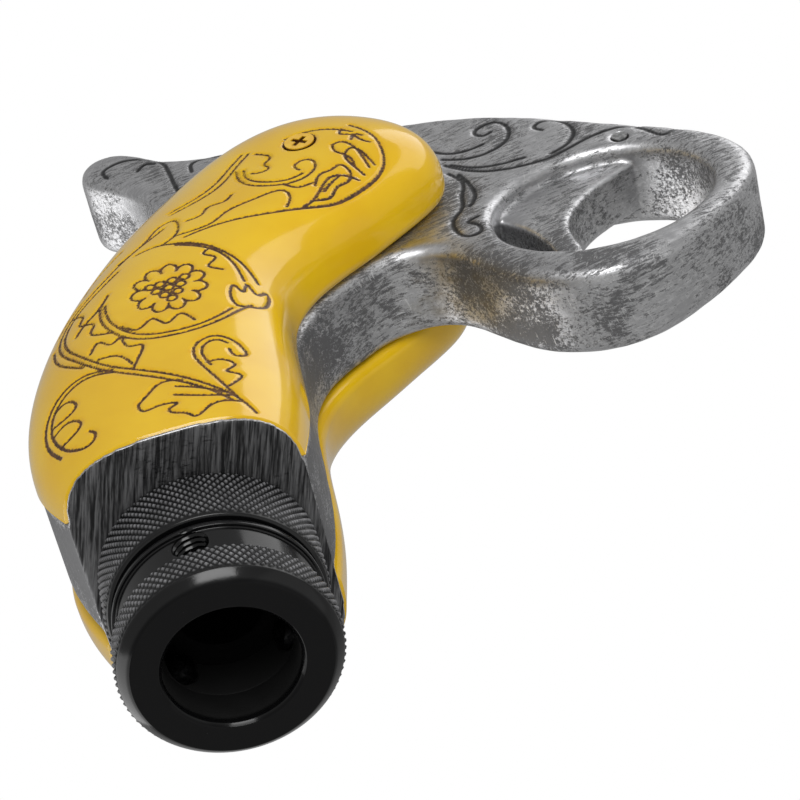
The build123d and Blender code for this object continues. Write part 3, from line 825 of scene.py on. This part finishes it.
def steel(name, dark, light):
    """Turned metal between two tones."""
    s = Shader(name, Metallic=1.0)
    turning = s.noise(1, 3, coords=s.stretch((2000, 300, 2000)))
    colour = s.mix(s.ramp(s.noise(0.5, 4), 0.35, 0.7), dark, light)
    s.bump(turning, 0.15, 0.03)
    return s.finish(colour, s.ramp(s.noise(1.2, 3), 0.3, 0.7, 0.25, 0.42))


def screw_lacquer():
    """The scale's yellow on a screw's head, with brown in its recess."""
    s = Shader("screw_lacquer", Coat_Weight=0.8, Coat_Roughness=0.1)
    depth = s.math("ABSOLUTE", s.axis("Y"))
    recess = s.ramp(depth, 0.0206, 0.02045)
    body = s.mix(s.ramp(s.noise(1.5, 3), 0.3, 0.7), (0.84, 0.46, 0.008), (0.93, 0.56, 0.012))
    colour = s.mix(recess, body, (0.09, 0.032, 0.006))
    s.bump(s.noise(0.8, 3), 0.08, 0.1)
    return s.finish(colour, s.ramp(s.noise(1, 2), 0.3, 0.7, 0.24, 0.34))


def paint(obj, material):
    """Gives an object one material."""
    obj.data.materials.clear()
    obj.data.materials.append(material)
    for polygon in obj.data.polygons:
        polygon.material_index = 0


yellow = yellow_lacquer()
metal = aged_metal()
anodised = black_anodised("black_anodised", 0.11, 0.17, 0.42, (0.26, 0.26, 0.27))
glossy = black_anodised("black_anodised_turned", 0.12, 0.18, 0.4, (0.006, 0.006, 0.006))
screw_yellow = screw_lacquer()
paint(right_scale, yellow)
paint(left_scale, yellow)
paint(casting, metal)
paint(collar_front, anodised)
paint(base_ring, anodised)
paint(collar_waist, glossy)
CAD_LOOKS = {
    "right_scale_screw": screw_yellow,
    "left_scale_screw": screw_yellow,
    "trigger_pin": steel("pin_steel", (0.22, 0.22, 0.22), (0.5, 0.5, 0.5)),
    "scale_screw_bush": steel("bush_brass", (0.36, 0.22, 0.06), (0.6, 0.42, 0.14)),
    "scale_dowels": steel("dowel_brass", (0.34, 0.22, 0.07), (0.58, 0.4, 0.15)),
    "base_lock_pin": steel("plated_steel", (0.3, 0.3, 0.31), (0.56, 0.56, 0.57)),
    "collar_o_ring": plain_black("black_rubber", (0.006, 0.006, 0.006), (0.016, 0.016, 0.016), 0.6),
    "lever_sleeve": plain_black("black_nylon", (0.0015, 0.0015, 0.0015), (0.003, 0.003, 0.003), 0.7, 0.08),
    "set_screw_1": steel("black_steel_1", (0.012, 0.012, 0.013), (0.05, 0.05, 0.052)),
    "set_screw_2": steel("black_steel_2", (0.012, 0.012, 0.013), (0.05, 0.05, 0.052)),
    "set_screw_3": steel("black_steel_3", (0.012, 0.012, 0.013), (0.05, 0.05, 0.052)),
}
for name, material in CAD_LOOKS.items():
    paint(nodes[name], material)

# ---------------------------------------------------------------- studio
AIM = Vector((0.03, 0.0, 0.07))
SOFTBOX_DISTANCE = 0.6
SOFTBOXES = [  # name, direction from the object, size in metres, watts
    ("key", (0.05, -0.84, -0.5), (0.3, 0.3), 1.7),
    ("side", (-0.84, 0.5, -0.05), (0.5, 0.6), 1.5),
    ("low", (0.7, -0.1, -0.7), (0.6, 0.6), 0.2),
    ("right", (0.72, -0.4, 0.55), (0.35, 0.75), 1.2),
]
SKY_LEVEL = 0.42  # as it lights the object
SKY_SEEN = 1.0  # where the camera looks straight at it
FLOOR_Z = -0.62
FLOOR_HALF = 12


def softbox(name, direction, size, power):
    """A rectangular area light that stands off from the object in a direction and is turned to it."""
    light = bpy.data.lights.new(name, "AREA")
    light.shape = "RECTANGLE"
    light.size, light.size_y = size
    light.energy = power
    obj = bpy.data.objects.new(name, light)
    obj.location = AIM + Vector(direction).normalized() * SOFTBOX_DISTANCE
    obj.rotation_euler = (AIM - obj.location).to_track_quat("-Z", "Y").to_euler()
    bpy.context.scene.collection.objects.link(obj)


for softbox_settings in SOFTBOXES:
    softbox(*softbox_settings)

# An even sky lights the object, and the camera sees it as white.
world = bpy.data.worlds.new("studio")
world.use_nodes = True
sky = world.node_tree
background = sky.nodes["Background"]
background.inputs[0].default_value = (1, 1, 1, 1)
shown = sky.nodes.new("ShaderNodeLightPath")
level = sky.nodes.new("ShaderNodeMapRange")
level.inputs[3].default_value = SKY_LEVEL
level.inputs[4].default_value = SKY_SEEN
sky.links.new(shown.outputs["Is Camera Ray"], level.inputs[0])
sky.links.new(level.outputs[0], background.inputs[1])
bpy.context.scene.world = world
bpy.context.scene.view_settings.view_transform = "Standard"

floor_mesh = bpy.data.meshes.new("floor")
floor_corners = [(x * FLOOR_HALF, y * FLOOR_HALF, FLOOR_Z) for x, y in ((-1, -1), (1, -1), (1, 1), (-1, 1))]
floor_mesh.from_pydata(floor_corners, [], [(0, 1, 2, 3)])
floor = bpy.data.objects.new("floor", floor_mesh)
bpy.context.scene.collection.objects.link(floor)
floor_look = Shader("floor", Roughness=0.7)
floor_tone = floor_look.ramp(floor_look.noise(40, 2), 0.3, 0.7)
floor_colour = floor_look.mix(floor_tone, (0.86, 0.86, 0.85), (0.89, 0.89, 0.88))
floor.data.materials.append(floor_look.finish(floor_colour))
